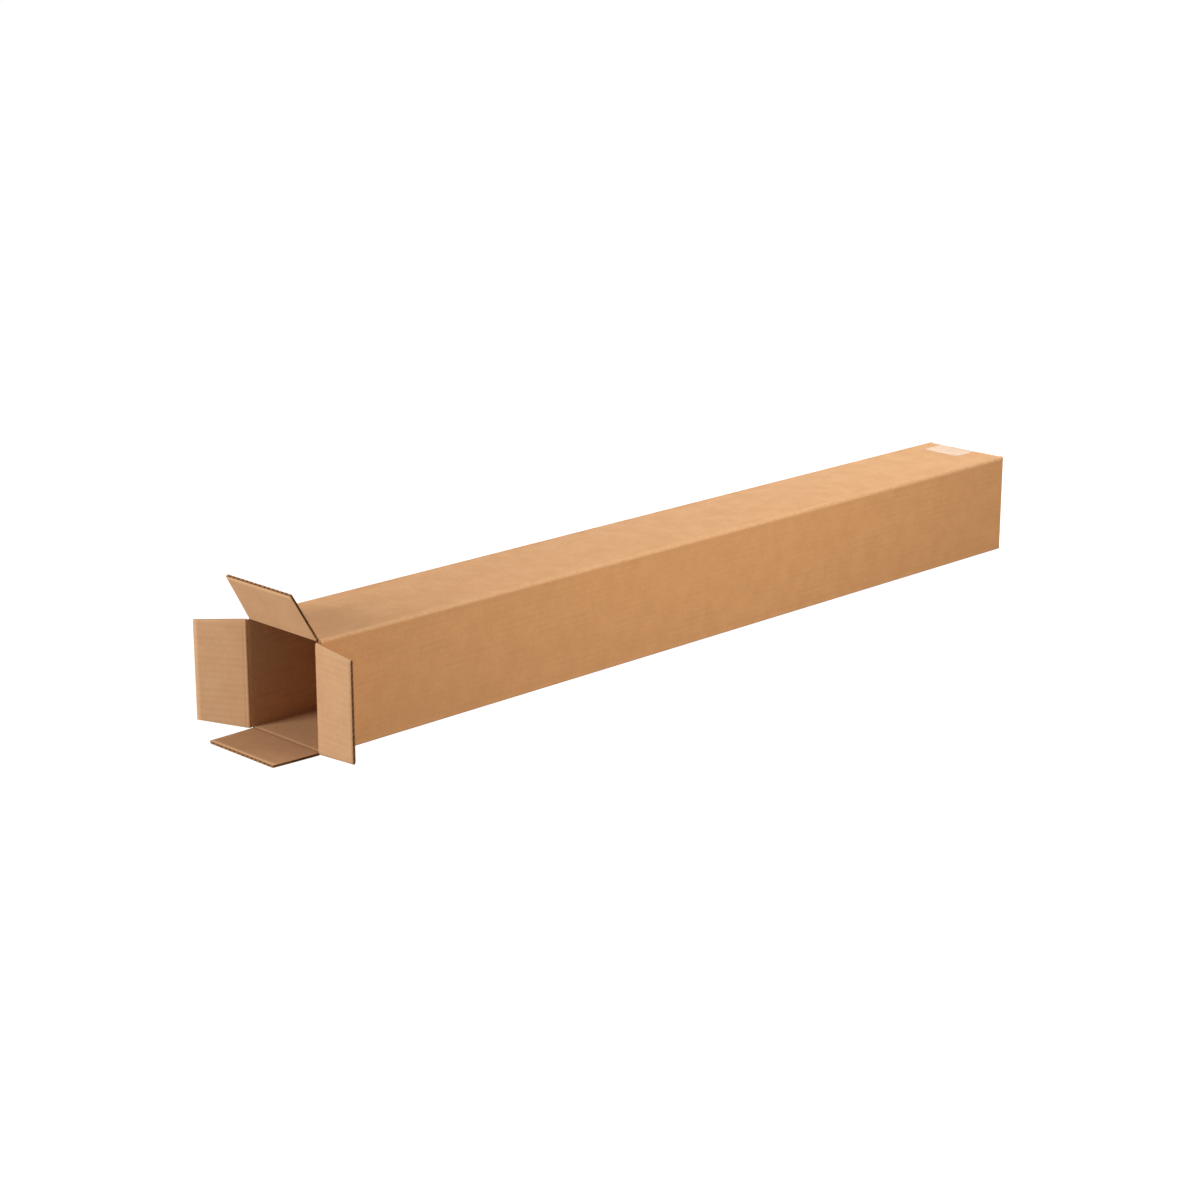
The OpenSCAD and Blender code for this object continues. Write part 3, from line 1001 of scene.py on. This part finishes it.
def tapeGrid(height):
    # path and its normal looked up by length, for every point across the width
    pathX, pathZ = tapePath()
    run = np.concatenate([[0.0], np.cumsum(np.hypot(np.diff(pathX), np.diff(pathZ)))])
    teeth = int(round(tapeStrip["width"] / tapeStrip["tooth"]))
    q = np.linspace(-0.5, 0.5, teeth * tapeStrip["toothPoints"] + 1)[None, :]
    zigzag = tapeStrip["toothDepth"] * np.abs((q * teeth) % 1.0 - 0.5) * 2.0
    t = np.linspace(0.0, 1.0, tapeStrip["rows"])[:, None]
    a = zigzag + t * (run[-1] - 2.0 * zigzag)
    y = np.broadcast_to(tapeStrip["shift"] + q * tapeStrip["width"], a.shape)
    reach = tapeStrip["bendReach"]
    dx = np.interp(a + reach, run, pathX) - np.interp(a - reach, run, pathX)
    dz = np.interp(a + reach, run, pathZ) - np.interp(a - reach, run, pathZ)
    size = np.hypot(dx, dz)
    # shallow wrinkles across the strip, a product of two sines, and a dip over the outer flaps' seam
    fade = tapeStrip["wrinkleFade"]
    end = smoothStep((a - tapeStrip["lap"]) / fade) * smoothStep((run[-1] - tapeStrip["lap"] - a) / fade)
    sway = tapeStrip["sway"] * np.sin(y / tapeStrip["swayWidth"])
    ripple = 0.5 + 0.5 * (np.sin(a / tapeStrip["wrinkleLength"] + sway)
                          * np.sin(y / tapeStrip["wrinkleWidth"] + 1.0))
    seam = np.exp(-(y / tapeStrip["seamReach"]) ** 2) * end
    lift = height + tapeStrip["wrinkle"] * ripple * end * (1.0 - seam)
    x = np.interp(a, run, pathX) - dz / size * lift
    z = np.interp(a, run, pathZ) + dx / size * lift
    return np.stack([x, y, z], -1), np.stack([a, y], -1)


def makeTape():
    under, uv = tapeGrid(tapeStrip["stuck"])
    over, uv = tapeGrid(tapeStrip["stuck"] + tapeStrip["thickness"])
    patches = slab(over, under, uv, 0.0, ("outer", "outer"), allWalls, flip=True)
    for one in patches:
        one["points"] = warp(one["points"])
        one["paint"] = np.zeros_like(one["paint"])      # film all over, its cut edges too
    piece = buildPiece("end_tape_film", patches, [tapeMaterial])
    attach(piece, "box")
    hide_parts("end_tape")


makeTape()
print("pieces ready")


# Stage: white floor, soft light from above, from behind, from before the open end and from the right
stageLook = {
    "floorSize": 60.0,
    "floorDrop": 0.02 * mm,      # just below the box
    "floorColour": (0.2, 0.2, 0.2),
    "floorRoughness": 0.9,
    "floorSpecular": 0.1,
    "floorShown": 0.97,          # glow of the floor seen by the camera
    "floorGlow": 0.2,            # and as it lights the box
    "worldShown": 1.0,           # the camera sees plain white all round
    "worldGlow": 0.18,           # and this is the light from there
}
lamps = {
    "overClosedEnd": {
        "location": (1.1, 0.3, 1.3),
        "target": (0.5, 0.0, 0.1),
        "size": (1.2, 1.2),
        "watts": 13.9,
        "tint": (0.97, 1.0, 0.97),
    },
    "behindBox": {
        "location": (1.9, 1.6, 1.0),
        "target": (0.3, 0.0, 0.1),
        "size": (3.0, 1.6),
        "watts": 45.3,
        "tint": (0.97, 1.0, 0.97),
    },
    "beforeOpenEnd": {
        "location": (-2.35, 0.5, 0.75),
        "target": (-0.52, 0.0, 0.06),
        "size": (0.8, 0.8),
        "watts": 37.6,
        "tint": (1.0, 1.0, 1.0),
    },
    "besideBox": {
        "location": (0.03, -1.0, 0.55),
        "target": (0.03, 0.0, 0.05),
        "size": (0.8, 0.5),
        "watts": 8.4,
        "tint": (1.0, 0.96, 1.0),
    },
}


def glowColour(tree, shown, given):
    # one grey for the camera, another for everything that is lit
    path = addNode(tree, "ShaderNodeLightPath", (-600, 0))
    return mixColour(tree, path.outputs["Is Camera Ray"], (given,) * 3, (shown,) * 3, (-300, 0))


def makeFloor():
    size, height = stageLook["floorSize"], -stageLook["floorDrop"]
    corners = [(-size, -size, height), (size, -size, height), (size, size, height), (-size, size, height)]
    mesh = bpy.data.meshes.new("floor")
    mesh.from_pydata(corners, [], [(0, 1, 2, 3)])
    material = bpy.data.materials.new("floorWhite")
    material.use_nodes = True
    tree = material.node_tree
    shader = tree.nodes["Principled BSDF"]
    shader.inputs["Base Color"].default_value = (*stageLook["floorColour"], 1.0)
    shader.inputs["Roughness"].default_value = stageLook["floorRoughness"]
    shader.inputs["Specular IOR Level"].default_value = stageLook["floorSpecular"]
    shader.inputs["Emission Strength"].default_value = 1.0
    glow = glowColour(tree, stageLook["floorShown"], stageLook["floorGlow"])
    tree.links.new(glow, shader.inputs["Emission Color"])
    mesh.materials.append(material)
    floor = bpy.data.objects.new("floor", mesh)
    bpy.context.scene.collection.objects.link(floor)


def makeLight(name, location, target, size, watts, tint):
    light = bpy.data.lights.new(name, "AREA")
    light.shape = "RECTANGLE"
    light.size, light.size_y = size
    light.energy = watts
    light.color = tint
    lamp = bpy.data.objects.new(name, light)
    lamp.location = location
    lamp.rotation_mode = "QUATERNION"
    lamp.rotation_quaternion = (Vector(target) - Vector(location)).to_track_quat("-Z", "Y")
    lamp.visible_camera = False
    bpy.context.scene.collection.objects.link(lamp)


def makeWorld():
    world = bpy.data.worlds.new("studio")
    bpy.context.scene.world = world
    world.use_nodes = True
    shade = world.node_tree.nodes["Background"]
    glow = glowColour(world.node_tree, stageLook["worldShown"], stageLook["worldGlow"])
    world.node_tree.links.new(glow, shade.inputs["Color"])


makeFloor()
makeWorld()
for name, lamp in lamps.items():
    makeLight(name, **lamp)

# Camera: looks down on the open end and the right side
view = {
    "azimuth": -44.833,
    "elevation": 16.427,
    "location": (-1.9322, -1.8427, 0.8190),
    "lens": 78.77,
    "sensor": 36.0,
    "farthest": 200.0,
}


def makeCamera():
    camera = bpy.data.cameras.new("photoView")
    camera.sensor_width = view["sensor"]
    camera.lens = view["lens"]
    camera.clip_end = view["farthest"]
    a, e = math.radians(view["azimuth"]), math.radians(view["elevation"])
    back = Vector((math.sin(a) * math.cos(e), -math.cos(a) * math.cos(e), math.sin(e)))
    stand = bpy.data.objects.new("photoView", camera)
    stand.location = view["location"]
    stand.rotation_mode = "QUATERNION"
    stand.rotation_quaternion = (-back).to_track_quat("-Z", "Y")
    bpy.context.scene.collection.objects.link(stand)
    bpy.context.scene.camera = stand


makeCamera()
bpy.context.scene.view_settings.view_transform = "Standard"
print("stage ready")

bpy.context.view_layer.update()
